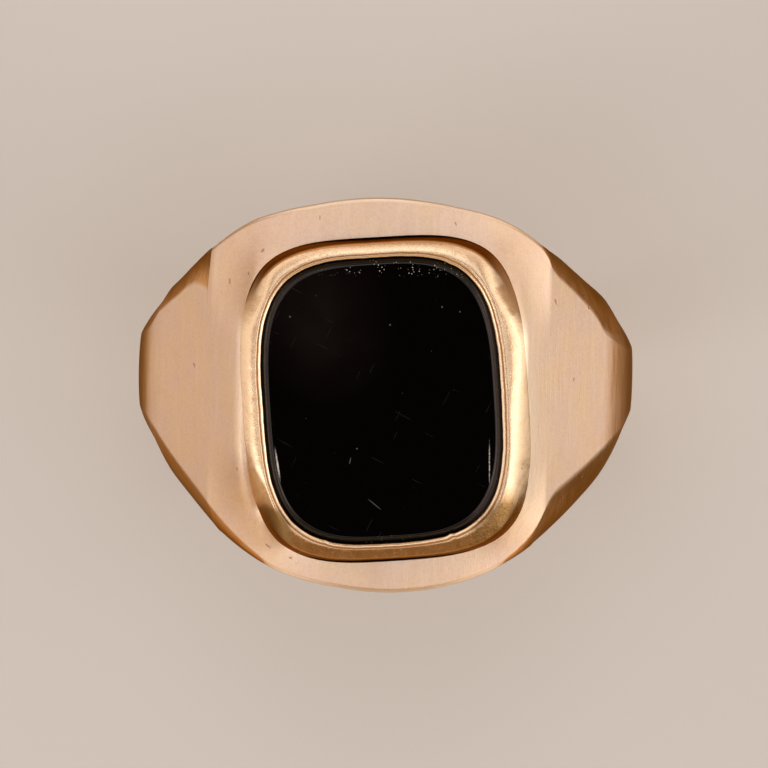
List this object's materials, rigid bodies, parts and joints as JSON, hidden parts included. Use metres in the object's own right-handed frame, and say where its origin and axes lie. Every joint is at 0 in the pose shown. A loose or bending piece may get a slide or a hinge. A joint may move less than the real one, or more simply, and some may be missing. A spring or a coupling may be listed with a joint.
{
  "type": "signet ring",
  "caption": "Signet ring: a gold shank whose shoulders widen into a curved head, with a flat cushion-shaped black stone held in a raised, rubbed-over collet.",
  "frame": {"origin": "centre of the finger bore, midway between the head's two long edges", "axes": "+Y along the finger (the bore's axis), +Z from the finger up through the stone, +X across the finger"},
  "size_m": [0.021, 0.0164, 0.0224],
  "materials": {
    "gold_satin": "satin",
    "gold_polished": "polished",
    "gold_seat": "matte",
    "onyx": "polished",
    "setting_cement": "matte",
    "gold_solder": "satin"
  },
  "bodies": {
    "root": {"cast_band": "gold_satin", "bezel_collet": "gold_polished", "seat_bearer": "gold_seat", "onyx_stone": "onyx", "stone_cement": "setting_cement", "collet_solder": "gold_solder"}
  },
  "joints": []
}
